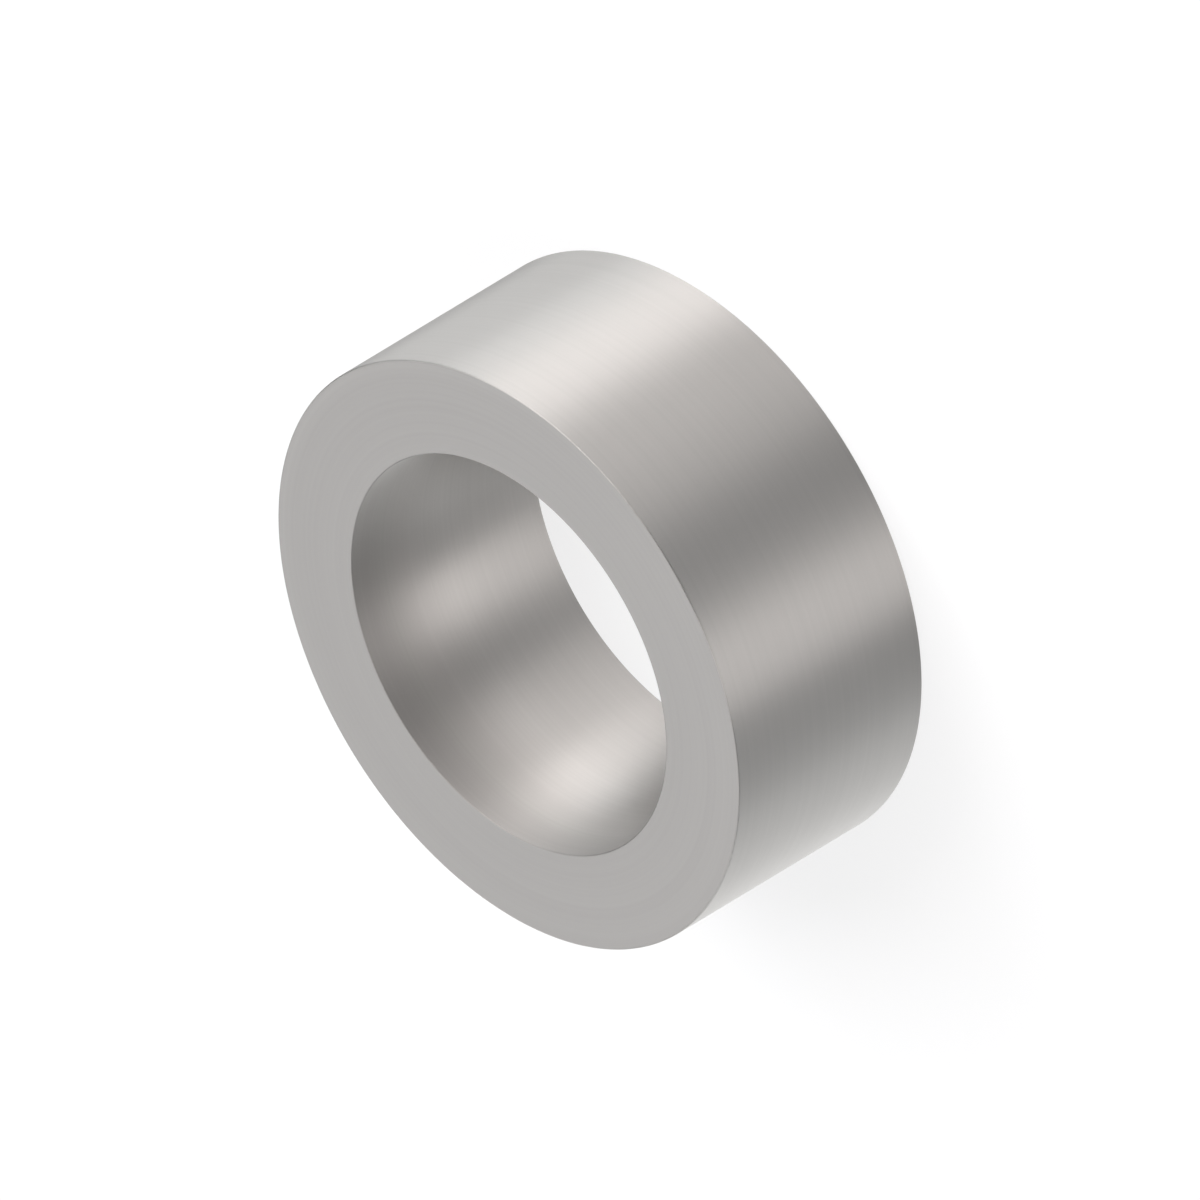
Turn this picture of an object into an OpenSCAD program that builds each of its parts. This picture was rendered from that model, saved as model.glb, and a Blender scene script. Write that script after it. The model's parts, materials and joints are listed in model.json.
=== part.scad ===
// Spacer sleeve, turned in one piece from round steel bar.
// It slides over an axle or a bolt and keeps the two parts beside it a set distance apart.
// It stands on one end face, centred on the origin, with its bore along +Z.
// All sizes are in millimetres.

/* [Bore] */
// Diameter of the bore, the size of the axle that goes through it
bore_d = 17; // [6:0.1:60]

/* [Body] */
// Thickness of the wall, from the bore to the outside
wall = 4; // [1:0.1:20]
// Length from one end face to the other, which is the gap that the sleeve keeps
length = 9.9; // [3:0.1:100]

/* [Edges] */
// Bevel that takes the burr off both outer rims, measured along each face
outer_break = 0.05; // [0.02:0.01:0.3]
// Bevel that takes the burr off both mouths of the bore, measured along each face
bore_break = 0.05; // [0.02:0.01:0.3]

/* [Hidden] */
bore_r = bore_d / 2;
outer_r = bore_r + wall;
steel = [0.69, 0.68, 0.67];
$fn = 180;

// The wall cut through on one side of the axis: an upright rectangle from the bore to the outside
// and from end face to end face, with a 45 degree bevel on each of its four corners.
// X is the distance from the axis and Y the height. The points run anticlockwise from the lower
// corner at the bore.
module wall_section() {
    polygon([
        [bore_r + bore_break, 0],
        [outer_r - outer_break, 0],
        [outer_r, outer_break],
        [outer_r, length - outer_break],
        [outer_r - outer_break, length],
        [bore_r + bore_break, length],
        [bore_r, length - bore_break],
        [bore_r, bore_break]
    ]);
}

// The sleeve: its wall carried once round the axis, as a lathe would turn it.
module spacer_sleeve() {
    color(steel) rotate_extrude() wall_section();
}

spacer_sleeve();
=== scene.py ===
"""Looks of a spacer sleeve: a short thick-walled tube turned from steel bar, standing on one end.

The sleeve is one surface, the section of its wall carried round the bore's axis. Its walls are
turned and bored, its ends are faced, and its four rims are broken by a fine round.
"""
import json
import math

import bpy
import numpy as np
from bpy.props import FloatProperty, FloatVectorProperty, IntProperty, PointerProperty
from bpy.types import Operator, Panel, PropertyGroup
from mathutils import Matrix, Vector


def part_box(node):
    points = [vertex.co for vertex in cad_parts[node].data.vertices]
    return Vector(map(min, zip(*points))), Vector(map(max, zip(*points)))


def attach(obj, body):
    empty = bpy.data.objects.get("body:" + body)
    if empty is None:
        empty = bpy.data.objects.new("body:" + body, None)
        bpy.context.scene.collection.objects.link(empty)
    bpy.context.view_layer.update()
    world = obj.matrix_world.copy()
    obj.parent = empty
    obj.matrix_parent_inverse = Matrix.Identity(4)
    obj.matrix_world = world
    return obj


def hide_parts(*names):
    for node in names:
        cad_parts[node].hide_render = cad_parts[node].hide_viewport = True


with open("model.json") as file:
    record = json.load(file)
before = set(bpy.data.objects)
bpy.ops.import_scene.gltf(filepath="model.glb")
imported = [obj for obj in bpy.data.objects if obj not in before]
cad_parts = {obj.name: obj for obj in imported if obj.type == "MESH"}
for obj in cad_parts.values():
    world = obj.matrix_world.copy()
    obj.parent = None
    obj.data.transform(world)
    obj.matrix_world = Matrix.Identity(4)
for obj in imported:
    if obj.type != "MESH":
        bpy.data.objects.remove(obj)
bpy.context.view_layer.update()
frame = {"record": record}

bl_info = {
    "name": "Spacer sleeve",
    "version": (1, 0, 0),
    "blender": (4, 5, 0),
    "location": "3D View > Sidebar > Sleeve",
    "description": "Makes a turned steel spacer sleeve and a plain studio round it",
    "category": "Add Mesh",
}

NODE = "spacer_sleeve"
BODY = "root"
# The name of the map that each piece is unrolled to.
MAP_NAME = "OFBake"

LOW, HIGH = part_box(NODE)
BORE_MOUNT = next(mount for mount in frame["record"]["mounts"] if mount["name"] == "bore")
MM = 0.001

# Heights that are closer than this are level with each other, in metres.
LEVEL = 1e-9
# The sleeve's three materials, in the order of its material slots.
TURNED, BORED, FACED = range(3)
# Share of a full turn that takes the stretch of a reflection from round the axis to along it.
ALONG_AXIS = 0.25
# A pass of the tool is this many lathe marks wide.
MARKS_A_PASS = 9
# How much the marks count in the steel's tone, where the passes make up the rest.
MARK_SHARE = 0.6
# How often the marks are halved into finer ones, and how much of its depth each halving keeps.
HALVINGS, DEPTH_KEPT = 2.0, 0.6
# The colour sockets of a Mix node: its two inputs, and its output.
MIX_FROM, MIX_TO, MIXED = 6, 7, 2
WHITE = (1.0, 1.0, 1.0)


class SleeveSizes(PropertyGroup):
    """The sleeve's sizes, as its frame gives them."""

    outer_diameter: FloatProperty(
        name="Outside diameter",
        description="Diameter of the outer wall",
        default=HIGH.x - LOW.x,
        min=MM,
        precision=4,
        unit="LENGTH",
    )
    bore_diameter: FloatProperty(
        name="Bore diameter",
        description="Diameter of the hole along the sleeve",
        default=2 * BORE_MOUNT["dims"]["r_mm"] * MM,
        min=MM / 2,
        precision=4,
        unit="LENGTH",
    )
    length: FloatProperty(
        name="Length",
        description="Distance from one end face to the other",
        default=HIGH.z - LOW.z,
        min=MM / 2,
        precision=4,
        unit="LENGTH",
    )
    rim_radius: FloatProperty(
        name="Rim radius",
        description="Radius of the fine round that breaks each of the four rims",
        default=0.05 * MM,
        min=0.01 * MM,
        max=0.5 * MM,
        precision=5,
        unit="LENGTH",
    )
    steps_round: IntProperty(
        name="Steps round",
        description="Number of faces round the axis",
        default=360,
        min=24,
        max=1440,
    )


class SleeveFinish(PropertyGroup):
    """The sleeve's steel, and how each of its surfaces was cut."""

    turned_steel: FloatVectorProperty(
        name="Turned steel",
        description="Colour of the steel on the turned outer wall",
        subtype="COLOR",
        default=(0.50, 0.494, 0.483),
        size=3,
        min=0.0,
        max=1.0,
    )
    # Painted light: the bore's steel is lighter than the outer wall's to make up for the shade inside
    # the bore.
    bore_steel_with_painted_light: FloatVectorProperty(
        name="Bored steel",
        description="Colour of the steel in the bore, which is cut finer and so is brighter",
        subtype="COLOR",
        default=(0.631, 0.621, 0.607),
        size=3,
        min=0.0,
        max=1.0,
    )
    faced_steel: FloatVectorProperty(
        name="Faced steel",
        description="Colour of the steel on the ends, which are cut coarser and so are duller",
        subtype="COLOR",
        default=(0.430, 0.428, 0.424),
        size=3,
        min=0.0,
        max=1.0,
    )
    wall_roughness: FloatProperty(
        name="Wall roughness",
        description="Roughness of the turned outer wall and of the bore",
        default=0.55,
        min=0.0,
        max=1.0,
        subtype="FACTOR",
    )
    end_roughness: FloatProperty(
        name="End roughness",
        description="Roughness of the two faced ends",
        default=0.7,
        min=0.0,
        max=1.0,
        subtype="FACTOR",
    )
    turning: FloatProperty(
        name="Turning",
        description="How far the lathe marks stretch a reflection along the axis",
        default=1.0,
        min=0.0,
        max=1.0,
        subtype="FACTOR",
    )
    # Painted shade: the share by which the bore's colour is darkened at its upper mouth, fading out
    # further down over the mouth depth.
    mouth_painted_shade: FloatProperty(
        name="Mouth painted shade",
        description="How much darker the bore is at its upper mouth, where the tool went in",
        default=0.37,
        min=0.0,
        max=1.0,
        subtype="FACTOR",
    )
    mouth_roughness: FloatProperty(
        name="Mouth roughness",
        description="How much rougher the bore is at its upper mouth than deep inside",
        default=0.3,
        min=0.0,
        max=1.0,
        subtype="FACTOR",
    )
    # Over this depth the bore has painted shade that darkens it towards the upper end, and it is also
    # rougher there.
    mouth_depth: FloatProperty(
        name="Mouth depth",
        description="How far down from the upper end the bore is duller and rougher",
        default=5.0 * MM,
        min=0.1 * MM,
        precision=4,
        unit="LENGTH",
    )
    mark_pitch: FloatProperty(
        name="Mark pitch",
        description="Usual distance from one lathe mark to the next",
        default=0.16 * MM,
        min=0.02 * MM,
        max=1.0 * MM,
        precision=5,
        unit="LENGTH",
    )
    mark_length: FloatProperty(
        name="Mark length",
        description="How far a lathe mark usually runs before it fades",
        default=50.0 * MM,
        min=1.0 * MM,
        precision=4,
        unit="LENGTH",
    )
    mark_depth: FloatProperty(
        name="Mark depth",
        description="Depth of the lathe marks",
        default=0.001 * MM,
        min=0.0,
        max=0.05 * MM,
        precision=6,
        unit="LENGTH",
    )
    mark_tone: FloatProperty(
        name="Mark tone",
        description="How much the lathe marks lighten and darken the steel, as a share of its colour",
        default=0.08,
        min=0.0,
        max=0.5,
        subtype="FACTOR",
    )
    mark_gloss: FloatProperty(
        name="Mark gloss",
        description="How much the lathe marks change the roughness",
        default=0.03,
        min=0.0,
        max=0.3,
        subtype="FACTOR",
    )


class StudioSettings(PropertyGroup):
    """The floor, the light and the view."""

    floor_colour: FloatVectorProperty(
        name="Floor colour",
        description="Colour of the floor that the sleeve stands on",
        subtype="COLOR",
        default=(0.78, 0.80, 0.82),
        size=3,
        min=0.0,
        max=1.0,
    )
    floor_radius: FloatProperty(
        name="Floor radius",
        description="Radius of the round floor",
        default=4.0,
        min=0.1,
        unit="LENGTH",
    )
    light: FloatProperty(
        name="Light",
        description="Strength of all the lamps together, where 1 is their plain level",
        default=1.0,
        min=0.0,
        max=10.0,
    )
    warm_light: FloatVectorProperty(
        name="Warm light",
        description="Colour of the warm lamps, while the others are white",
        subtype="COLOR",
        default=(1.0, 0.945, 0.925),
        size=3,
        min=0.0,
        max=1.0,
    )
    floor_glow: FloatProperty(
        name="Floor glow",
        description="Share of the floor's white that shadows don't darken",
        default=0.7,
        min=0.0,
        max=1.0,
        subtype="FACTOR",
    )
    surroundings: FloatProperty(
        name="Surroundings",
        description="Brightness of the studio above the floor, where no lamp is",
        default=0.12,
        min=0.0,
        max=1.0,
        subtype="FACTOR",
    )
    view_elevation: FloatProperty(
        name="View elevation",
        description="Angle of the line of sight above the upper end face",
        default=math.radians(34.5),
        subtype="ANGLE",
    )
    view_roll: FloatProperty(
        name="View roll",
        description="Turn of the camera about its line of sight, from upright",
        default=math.radians(-121.05),
        subtype="ANGLE",
    )
    frame_width: FloatProperty(
        name="Frame width",
        description="Width of the picture, in outside diameters of the sleeve",
        default=1.84,
        min=0.5,
    )


def rounded_section(inner, outer, low, high, rim, rows=8, rim_steps=5):
    """The section of the wall in the plane of the axis, as (points, directions faced).

    It is an upright rectangle with round corners. Each corner is a quarter circle about its own
    centre, in rim_steps steps: centre plus rim times (cos t, sin t), where t runs through a
    quarter turn, and the point faces along (cos t, sin t). Each straight run between corners is
    divided evenly into rows, and faces as the ends of the quarters that it joins.
    """
    centres = np.array([[outer - rim, low + rim], [outer - rim, high - rim],
                        [inner + rim, high - rim], [inner + rim, low + rim]])
    quarter = np.linspace(0, math.pi / 2, rim_steps + 1)
    turns = (np.arange(4)[:, None] - 1) * math.pi / 2 + quarter
    faced = np.stack([np.cos(turns), np.sin(turns)], axis=-1)
    corners = centres[:, None] + rim * faced
    share = np.arange(1, rows)[None, :, None] / rows
    run_start, run_end = corners[:, -1:], np.roll(corners[:, :1], -1, axis=0)
    runs = run_start + share * (run_end - run_start)
    run_faced = np.broadcast_to(faced[:, -1:], runs.shape)
    points = np.concatenate([corners, runs], axis=1).reshape(-1, 2)
    directions = np.concatenate([faced, run_faced], axis=1).reshape(-1, 2)
    return points, directions


def carried_round(section, directions, steps):
    """The section carried round the axis, as (places, directions) on a grid of angle by section.

    A point at radius r and height z goes to (r cos a, r sin a, z), and its direction turns with
    it, for every angle a of the circle.
    """
    angle = np.arange(steps)[:, None] * 2 * math.pi / steps
    cos, sin = np.cos(angle), np.sin(angle)

    def turned(pairs):
        radial, axial = pairs[:, 0], pairs[:, 1]
        return np.stack([radial * cos, radial * sin, axial + 0 * angle], axis=-1)

    return turned(section), turned(directions)


def closed_grid_faces(steps, count):
    """The quads of a grid that is closed both ways, as corner numbers, facing outwards.

    The quad at (i, j) joins (i, j), (i + 1, j), (i + 1, j + 1) and (i, j + 1), where the grid's
    last row and column are followed by its first.
    """
    i, j = np.meshgrid(np.arange(steps), np.arange(count), indexing="ij")
    after_i, after_j = (i + 1) % steps, (j + 1) % count
    corners = np.stack([i * count + j, after_i * count + j,
                        after_i * count + after_j, i * count + after_j], axis=-1)
    return corners.reshape(-1, 4)


def unrolled(section, steps):
    """Where each quad's corners fall on a square sheet that the surface is unrolled to.

    Across the sheet runs the share of the way round, and up it the share of the way along the
    section, measured along its line.
    """
    lengths = np.linalg.norm(np.roll(section, -1, axis=0) - section, axis=1)
    along = np.concatenate([[0], np.cumsum(lengths)]) / lengths.sum()
    around = np.linspace(0, 1, steps + 1)
    left, low = np.meshgrid(around[:-1], along[:-1], indexing="ij")
    right, high = np.meshgrid(around[1:], along[1:], indexing="ij")
    return np.stack([left, low, right, low, right, high, left, high], axis=-1).ravel()


def new_piece(name, places, faces, directions, sheet, materials, slots):
    """A mesh object of these places and faces, shaded by the directions its points face."""
    mesh = bpy.data.meshes.new(name)
    mesh.from_pydata(places.reshape(-1, 3), [], faces)
    mesh.uv_layers.new(name=MAP_NAME).uv.foreach_set("vector", sheet)
    for material in materials:
        mesh.materials.append(material)
    mesh.polygons.foreach_set("material_index", slots)
    mesh.polygons.foreach_set("use_smooth", np.ones(len(faces), bool))
    mesh.update()
    mesh.normals_split_custom_set_from_vertices(directions.reshape(-1, 3))
    mesh.validate()
    piece = bpy.data.objects.new(name, mesh)
    bpy.context.scene.collection.objects.link(piece)
    return piece


class Amount:
    """A number that varies from place to place.

    Sums with it add the Math nodes that they need, and a | b is the larger of the two.
    """

    def __init__(self, shader, socket):
        self.shader = shader
        self.socket = socket

    def worked(self, operation, *values):
        """What that operation makes of the values."""
        return self.shader.amount("ShaderNodeMath", {"operation": operation}, values)

    def __add__(self, other):
        return self.worked("ADD", self, other)

    def __sub__(self, other):
        return self.worked("SUBTRACT", self, other)

    def __rsub__(self, other):
        return self.worked("SUBTRACT", other, self)

    def __mul__(self, other):
        return self.worked("MULTIPLY", self, other)

    def __truediv__(self, other):
        return self.worked("DIVIDE", self, other)

    def __or__(self, other):
        return self.worked("MAXIMUM", self, other)

    __radd__ = __add__
    __rmul__ = __mul__


class Shader:
    """The nodes of a material or a world."""

    def __init__(self, owner):
        owner.use_nodes = True
        self.owner = owner
        self.tree = owner.node_tree

    def feed(self, socket, value):
        """Gives a socket a link, or else a plain value."""
        source = value.socket if isinstance(value, Amount) else value
        if isinstance(source, bpy.types.NodeSocket):
            self.tree.links.new(source, socket)
        else:
            socket.default_value = source

    def add(self, kind, settings=None, sockets=()):
        """A node of that kind. Its settings are set first, and then its sockets.

        sockets gives their values or links in order, or else by name or number.
        """
        node = self.tree.nodes.new(kind)
        for setting, value in (settings or {}).items():
            setattr(node, setting, value)
        for key, value in sockets.items() if isinstance(sockets, dict) else enumerate(sockets):
            self.feed(node.inputs[key], value)
        return node

    def amount(self, kind, settings=None, sockets=(), output=0):
        """An output of such a node, as an Amount."""
        return Amount(self, self.add(kind, settings, sockets).outputs[output])


def place_of(shader):
    """The place on the object as three Amounts x, y and z, in metres."""
    place = shader.add("ShaderNodeTexCoord").outputs["Object"]
    parts = shader.add("ShaderNodeSeparateXYZ", None, [place])
    return [Amount(shader, part) for part in parts.outputs]


def height_of(shader):
    """The height on the object, in metres."""
    return place_of(shader)[2]


def radius_of(shader):
    """The distance from the axis, in metres: the length of (x, y)."""
    flat = shader.add("ShaderNodeCombineXYZ", None, place_of(shader)[:2])
    return shader.amount("ShaderNodeVectorMath", {"operation": "LENGTH"}, [flat.outputs[0]],
                         output="Value")


def near_the_top(shader, length, depth):
    """1 at the upper end of the sleeve, and less further down, to 0 at that depth."""
    top = LOW.z + length
    return shader.amount("ShaderNodeMapRange", {"interpolation_type": "SMOOTHSTEP"},
                         [height_of(shader), top - depth, top])


def lathe_marks(shader, along, pitch, length):
    """Marks from 0 to 1 that ring the axis, an uneven pitch apart, where along is an Amount.

    They are noise at (x / length, y / length, along / pitch), where length is many times the
    pitch, so that each ring fades in and out on its way round.
    """
    x, y, _ = place_of(shader)
    stretched = shader.add("ShaderNodeCombineXYZ", None, [x / length, y / length, along / pitch])
    return shader.amount("ShaderNodeTexNoise", None, {
        "Vector": stretched.outputs[0],
        "Scale": 1.0,
        "Detail": HALVINGS,
        "Roughness": DEPTH_KEPT,
    })


def cut_steel(shader, finish, steel, along, roughness, turning=0.0, painted_shade=0.0):
    """Bare steel, cut by a tool that went round the axis and left fine rings.

    The rings are spaced along an Amount, the height on a wall and the radius on an end. They
    change the steel's tone and gloss a little and press into its surface. turning is how far
    they stretch a reflection across themselves, and painted_shade is the share of the tone
    taken away as painted shade.
    """
    marks = lathe_marks(shader, along, finish.mark_pitch, finish.mark_length)
    passes = lathe_marks(shader, along, MARKS_A_PASS * finish.mark_pitch, finish.mark_length)
    tone = shader.add("ShaderNodeMix", {"data_type": "RGBA"}, {
        "Factor": MARK_SHARE * marks + (1 - MARK_SHARE) * passes,
        MIX_FROM: (*(steel * (1 - finish.mark_tone)), 1.0),
        MIX_TO: (*(steel * (1 + finish.mark_tone)), 1.0),
    })
    # The tone is darkened here by the painted shade that the caller gives, none by default.
    colour = shader.add("ShaderNodeVectorMath", {"operation": "SCALE"}, {
        "Vector": tone.outputs[MIXED],
        "Scale": 1 - painted_shade,
    })
    pressed = shader.add("ShaderNodeBump", None, {
        "Height": marks,
        "Distance": finish.mark_depth,
    })
    surface = shader.tree.nodes["Principled BSDF"].inputs
    shader.feed(surface["Base Color"], colour.outputs[0])
    shader.feed(surface["Metallic"], 1.0)
    shader.feed(surface["Roughness"], roughness + finish.mark_gloss * (marks + passes - 1))
    shader.feed(surface["Normal"], pressed.outputs[0])
    shader.feed(surface["Anisotropic"], turning)
    shader.feed(surface["Anisotropic Rotation"], ALONG_AXIS)
    return shader.owner


def turned_wall(finish):
    """The outer wall, turned in one cut along the bar."""
    shader = Shader(bpy.data.materials.new("turned_wall"))
    return cut_steel(shader, finish, finish.turned_steel, height_of(shader),
                     finish.wall_roughness, finish.turning)


def bored_wall(finish, length):
    """The wall of the bore, painted lighter than the outer wall to make up for the shade inside it,
    with painted shade that darkens it towards its upper end, where it is also rougher, as the tool
    went in there.
    """
    shader = Shader(bpy.data.materials.new("bored_wall"))
    mouth = near_the_top(shader, length, finish.mouth_depth)
    # Painted shade: the bore's colour darkens towards its upper end by the mouth share.
    return cut_steel(shader, finish, finish.bore_steel_with_painted_light, height_of(shader),
                     finish.wall_roughness + finish.mouth_roughness * mouth, finish.turning,
                     finish.mouth_painted_shade * mouth)


def faced_end(finish):
    """Both ends, faced from the rim to the bore."""
    shader = Shader(bpy.data.materials.new("faced_end"))
    return cut_steel(shader, finish, finish.faced_steel, radius_of(shader), finish.end_roughness)


def cut_of(section, inner, outer):
    """Which material each quad along the section wears.

    A stretch of the section that keeps its height is an end face. Of the others, those nearer
    the axis than the middle of the wall belong to the bore, and the rest to the outside.
    """
    following = np.roll(section, -1, axis=0)
    radius, height = ((section + following) / 2)[:, 0], (following - section)[:, 1]
    walls = np.where(radius < (inner + outer) / 2, BORED, TURNED)
    return np.where(np.abs(height) < LEVEL, FACED, walls)


class SLEEVE_OT_make_sleeve(Operator):
    """Make the sleeve in turned steel, in place of its plain solid"""

    bl_idname = "sleeve.make_sleeve"
    bl_label = "Make the sleeve"
    bl_options = {"REGISTER", "UNDO"}

    def execute(self, context):
        sizes, finish = context.scene.sleeve_sizes, context.scene.sleeve_finish
        inner, outer = sizes.bore_diameter / 2, sizes.outer_diameter / 2
        if inner + 2 * sizes.rim_radius >= outer:
            raise ValueError("the bore leaves no wall")
        section, faced = rounded_section(inner, outer, LOW.z, LOW.z + sizes.length,
                                         sizes.rim_radius)
        places, directions = carried_round(section, faced, sizes.steps_round)
        faces = closed_grid_faces(sizes.steps_round, len(section))
        sheet = unrolled(section, sizes.steps_round)
        slots = np.tile(cut_of(section, inner, outer), sizes.steps_round)
        materials = (turned_wall(finish), bored_wall(finish, sizes.length), faced_end(finish))
        piece = new_piece("turned_sleeve", places, faces, directions, sheet, materials, slots)
        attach(piece, BODY)
        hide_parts(NODE)
        return {"FINISHED"}


# Each lamp is (name, azimuth, elevation, width, height, brightness, warm): where its middle
# stands, seen from the sleeve, and the angles that it fills, in degrees. A brightness of 1 is
# white, and a lamp that isn't warm has no colour.
LAMPS = (
    ("key_lamp", -13.0, 42.0, 30.0, 70.0, 3.7, True),
    ("key_side_lamp", 9.0, 42.0, 14.0, 70.0, 3.7, False),
    ("right_lamp", 33.0, 22.0, 33.0, 35.0, 1.95, False),
    ("end_lamp", 88.0, 30.0, 46.0, 50.0, 0.62, False),
    ("far_lamp", 130.0, 22.0, 40.0, 35.0, 1.85, False),
    ("side_lamp", 164.0, 40.0, 28.0, 70.0, 1.2, False),
    ("left_lamp", -133.0, 42.0, 28.0, 60.0, 2.5, True),
    ("front_lamp", -60.0, 42.0, 30.0, 60.0, 1.14, True),
    ("high_lamp", -45.0, 65.0, 40.0, 30.0, 0.8, True),
)
LAMP_DISTANCE = 0.6
CAMERA_DISTANCE = 0.3
CAMERA_CLIP = 0.01, 10.0
FLOOR_STEPS = 128
# The white round the horizon fades out between these heights of a direction, whose length is 1.
HORIZON = 0.03, 0.08


def direction_of(azimuth, elevation):
    """The unit direction at an azimuth from +X towards +Y and an elevation, in degrees."""
    around, above = math.radians(azimuth), math.radians(elevation)
    return Vector((math.cos(around) * math.cos(above), math.sin(around) * math.cos(above),
                   math.sin(above)))


def soft_lamp(name, azimuth, elevation, width, height, brightness, colour, target):
    """A rectangular lamp of even brightness, turned to the target.

    Its brightness is its power over pi times its area.
    """
    lamp = bpy.data.lights.new(name, "AREA")
    lamp.shape = "RECTANGLE"
    lamp.size = 2 * LAMP_DISTANCE * math.tan(math.radians(width) / 2)
    lamp.size_y = 2 * LAMP_DISTANCE * math.tan(math.radians(height) / 2)
    lamp.energy = brightness * lamp.size * lamp.size_y * math.pi
    lamp.color = colour
    towards = direction_of(azimuth, elevation)
    piece = bpy.data.objects.new(name, lamp)
    piece.location = target + towards * LAMP_DISTANCE
    piece.rotation_euler = towards.to_track_quat("Z", "Y").to_euler()
    piece.visible_camera = False
    bpy.context.scene.collection.objects.link(piece)


def shown(shader):
    """1 for what the camera sees, at first hand or in metal or through glass, and otherwise 0."""
    path = shader.add("ShaderNodeLightPath").outputs
    camera, glossy, through = (Amount(shader, path[f"Is {ray} Ray"])
                               for ray in ("Camera", "Glossy", "Transmission"))
    return camera | glossy | through


def pale_floor(colour, glow):
    """A matt white that partly shows at its own full strength, so that its shadows stay light."""
    shader = Shader(bpy.data.materials.new("pale_floor"))
    matt = shader.add("ShaderNodeBsdfDiffuse", None, {"Color": (*colour, 1.0)})
    white = shader.add("ShaderNodeEmission", None, {"Color": (*WHITE, 1.0), "Strength": 1.0})
    surface = shader.add("ShaderNodeMixShader", None,
                         [shown(shader) * glow, matt.outputs[0], white.outputs[0]])
    shader.feed(shader.tree.nodes["Material Output"].inputs["Surface"], surface.outputs[0])
    return shader.owner


def round_floor(radius, material):
    """A flat round floor under the sleeve: the places (radius cos a, radius sin a) in one face."""
    angle = np.arange(FLOOR_STEPS) * 2 * math.pi / FLOOR_STEPS
    rim = np.stack([radius * np.cos(angle), radius * np.sin(angle), 0 * angle + LOW.z], axis=-1)
    mesh = bpy.data.meshes.new("floor")
    mesh.from_pydata(rim, [], [np.arange(FLOOR_STEPS)])
    mesh.materials.append(material)
    floor = bpy.data.objects.new("floor", mesh)
    bpy.context.scene.collection.objects.link(floor)


def studio_world(dim):
    """A dim room that shows white round the horizon, so that the floor has no visible edge."""
    shader = Shader(bpy.data.worlds.new("studio"))
    direction = shader.add("ShaderNodeTexCoord").outputs["Generated"]
    height = shader.add("ShaderNodeSeparateXYZ", None, [direction]).outputs["Z"]
    low = shader.amount("ShaderNodeMapRange", {"interpolation_type": "SMOOTHSTEP"},
                        [height, *HORIZON, 1.0, 0.0])
    background = shader.tree.nodes["Background"].inputs
    shader.feed(background["Color"], (*WHITE, 1.0))
    shader.feed(background["Strength"], dim + (1 - dim) * low * shown(shader))
    return shader.owner


def picture_camera(target, elevation, roll, width):
    """A camera without perspective that looks along +Y and down at the target.

    The elevation and the roll about the line of sight are in radians.
    """
    camera = bpy.data.cameras.new("camera")
    camera.type = "ORTHO"
    camera.ortho_scale = width
    camera.clip_start, camera.clip_end = CAMERA_CLIP
    seen_from = direction_of(-90, math.degrees(elevation))
    upright = seen_from.to_track_quat("Z", "Y").to_matrix()
    turned = upright @ Matrix.Rotation(roll, 3, "Z")
    piece = bpy.data.objects.new("camera", camera)
    piece.matrix_world = (Matrix.Translation(target + seen_from * CAMERA_DISTANCE)
                          @ turned.to_4x4())
    bpy.context.scene.collection.objects.link(piece)
    return piece


class SLEEVE_OT_make_stage(Operator):
    """Make the floor, the soft lamps and the camera"""

    bl_idname = "sleeve.make_stage"
    bl_label = "Make the stage"
    bl_options = {"REGISTER", "UNDO"}

    def execute(self, context):
        studio, sizes = context.scene.sleeve_studio, context.scene.sleeve_sizes
        centre = Vector((0, 0, LOW.z + sizes.length / 2))
        round_floor(studio.floor_radius, pale_floor(studio.floor_colour, studio.floor_glow))
        for name, azimuth, elevation, width, height, brightness, warm in LAMPS:
            soft_lamp(name, azimuth, elevation, width, height, brightness * studio.light,
                      studio.warm_light if warm else WHITE, centre)
        context.scene.world = studio_world(studio.surroundings)
        context.scene.camera = picture_camera(centre, studio.view_elevation, studio.view_roll,
                                              studio.frame_width * sizes.outer_diameter)
        context.scene.view_settings.view_transform = "Standard"
        return {"FINISHED"}


class SLEEVE_PT_sleeve(Panel):
    """Sizes, finish and studio of the sleeve"""

    bl_label = "Spacer sleeve"
    bl_space_type = "VIEW_3D"
    bl_region_type = "UI"
    bl_category = "Sleeve"

    def draw(self, context):
        for title, group, operator in (
            ("Sizes", context.scene.sleeve_sizes, None),
            ("Finish", context.scene.sleeve_finish, SLEEVE_OT_make_sleeve),
            ("Studio", context.scene.sleeve_studio, SLEEVE_OT_make_stage),
        ):
            box = self.layout.box()
            box.label(text=title)
            for name in group.__annotations__:
                box.prop(group, name)
            if operator:
                box.operator(operator.bl_idname)


CLASSES = (
    SleeveSizes,
    SleeveFinish,
    StudioSettings,
    SLEEVE_OT_make_sleeve,
    SLEEVE_OT_make_stage,
    SLEEVE_PT_sleeve,
)


def register():
    """Adds the classes, and their settings to every scene."""
    for each in CLASSES:
        bpy.utils.register_class(each)
    bpy.types.Scene.sleeve_sizes = PointerProperty(type=SleeveSizes)
    bpy.types.Scene.sleeve_finish = PointerProperty(type=SleeveFinish)
    bpy.types.Scene.sleeve_studio = PointerProperty(type=StudioSettings)


def unregister():
    """Takes away what register adds."""
    del bpy.types.Scene.sleeve_studio
    del bpy.types.Scene.sleeve_finish
    del bpy.types.Scene.sleeve_sizes
    for each in reversed(CLASSES):
        bpy.utils.unregister_class(each)


def main():
    register()
    bpy.ops.sleeve.make_sleeve()
    bpy.ops.sleeve.make_stage()


if __name__ == "__main__":
    main()
